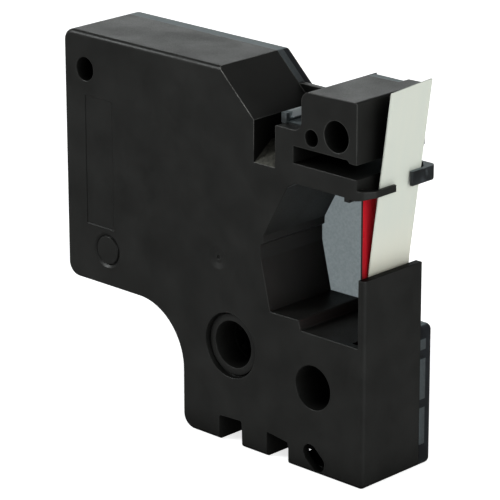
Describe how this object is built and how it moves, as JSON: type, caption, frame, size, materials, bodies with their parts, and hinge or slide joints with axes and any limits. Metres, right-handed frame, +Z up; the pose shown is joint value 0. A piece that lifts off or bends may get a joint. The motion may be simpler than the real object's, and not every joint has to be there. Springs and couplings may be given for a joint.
{
  "type": "label tape cassette",
  "caption": "Flat cassette for a label printer: moulded case, smoky cover, tape roll and coloured ribbon on spools, with a print head window and a free tape end.",
  "frame": {"origin": "middle of the bounding box at the base: the cassette stands on its foot", "axes": "+Z up; +X to the right as the moulded face is seen, towards the tape's exit; +Y from the moulded face to the clear cover"},
  "size_m": [0.0668, 0.0162, 0.063],
  "materials": {
    "case": "fine moulded grain, satin black",
    "cover": "smoky translucent plastic, lightly textured",
    "label": "blank coated paper",
    "core": "natural white moulded plastic",
    "takeup_hub": "black moulded plastic",
    "roller": "low-friction natural plastic",
    "washer": "thin slip film",
    "tape": "satin white film",
    "ribbon": "satin red inked film",
    "steel": "drawn steel"
  },
  "bodies": {
    "case": {"case_body": "case", "clear_cover": "cover", "cover_label": "label", "tape_front_washer": "washer", "tape_rear_washer": "washer", "tape_run": "tape", "lower_left_roller_pin": "steel", "lower_right_roller_pin": "steel", "supply_brake_spring": "steel", "ribbon_run": "ribbon", "ribbon_guide_pin": "steel", "takeup_washer": "washer"},
    "tape_supply": {"tape_core": "core", "tape_roll": "tape"},
    "tape_strip": {"tape_end": "tape"},
    "left_roller": {"lower_left_roller": "roller"},
    "right_roller": {"lower_right_roller": "roller"},
    "takeup_spool": {"takeup_core": "takeup_hub", "takeup_roll": "ribbon"},
    "ribbon_supply": {"ribbon_supply_core": "core", "ribbon_supply_roll": "ribbon"}
  },
  "joints": [
    {"name": "tape_roll_spin", "type": "hinge", "parent": "case", "child": "tape_supply", "pos_m": [-0.01235, -0.00005, 0.0404], "axis": [0, -1, 0], "range_deg": [0, 27.83]},
    {"name": "tape_feed", "type": "slide", "parent": "case", "child": "tape_strip", "axis": [0, 0, 1], "range_m": [0, 0.008]},
    {"name": "left_roller_spin", "type": "hinge", "parent": "case", "child": "left_roller", "pos_m": [-0.00305, -0.00005, 0.00805], "axis": [0, -1, 0], "range_deg": [0, 229.68]},
    {"name": "right_roller_spin", "type": "hinge", "parent": "case", "child": "right_roller", "pos_m": [0.0273, -0.00005, 0.00805], "axis": [0, -1, 0], "range_deg": [0, 229.68]},
    {"name": "takeup_spin", "type": "hinge", "parent": "case", "child": "takeup_spool", "pos_m": [0.0036, -0.00005, 0.0165], "axis": [0, 1, 0], "continuous": true},
    {"name": "ribbon_supply_spin", "type": "hinge", "parent": "case", "child": "ribbon_supply", "pos_m": [0.02115, -0.00005, 0.0141], "axis": [0, 1, 0], "continuous": true}
  ],
  "couplings": [
    {"joint": "tape_roll_spin", "follows": "tape_feed", "rad_per_m": 60.606},
    {"joint": "left_roller_spin", "follows": "tape_feed", "rad_per_m": 500},
    {"joint": "right_roller_spin", "follows": "tape_feed", "rad_per_m": 500},
    {"joint": "ribbon_supply_spin", "follows": "takeup_spin", "ratio": -0.95161}
  ]
}
